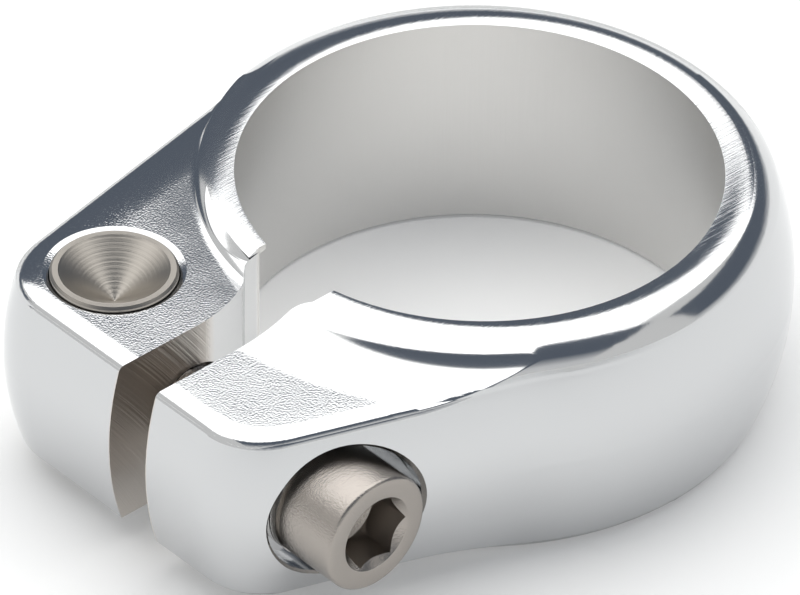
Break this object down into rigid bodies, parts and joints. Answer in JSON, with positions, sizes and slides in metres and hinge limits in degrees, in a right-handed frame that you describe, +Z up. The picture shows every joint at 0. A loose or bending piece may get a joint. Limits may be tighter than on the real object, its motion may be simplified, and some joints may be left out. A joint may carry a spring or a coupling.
{
  "type": "seatpost clamp",
  "caption": "Polished seatpost clamp: lipped split ring with two ears, drawn together by a socket head screw into an upright barrel nut.",
  "frame": {"origin": "on the bore axis at the level of the screw axis, which is the collar's mid height", "axes": "+Z up along the bore towards the lip, -Y towards the slot and ears, +X towards the screw head"},
  "size_m": [0.0376, 0.0463, 0.015],
  "materials": {
    "polished_aluminium": "forged, tumbled and polished bright, bare",
    "turned_stainless": "turned, with the tool's rings in the end cone",
    "tumbled_stainless": "tumbled, finely speckled",
    "washer_stainless": "rolled bright"
  },
  "bodies": {
    "collar": {"collar": "polished_aluminium"},
    "barrel_nut": {"barrel_nut": "turned_stainless"},
    "washer": {"washer": "washer_stainless"},
    "clamp_bolt": {"clamp_bolt": "tumbled_stainless"}
  },
  "joints": [
    {"name": "nut_swivel", "type": "hinge", "parent": "collar", "child": "barrel_nut", "pos_m": [-0.00858, -0.02105, 0], "axis": [0, 0, 1], "range_deg": [-0.7, 0.7]},
    {"name": "screw_travel", "type": "slide", "parent": "barrel_nut", "child": "washer", "axis": [1, 0, 0], "range_m": [0, 0.0048]},
    {"name": "screw_turn", "type": "hinge", "parent": "washer", "child": "clamp_bolt", "pos_m": [0.00986, -0.02105, 0], "axis": [1, 0, 0], "range_deg": [0, 2160]}
  ],
  "couplings": [
    {"joint": "screw_turn", "follows": "screw_travel", "rad_per_m": 7854}
  ]
}
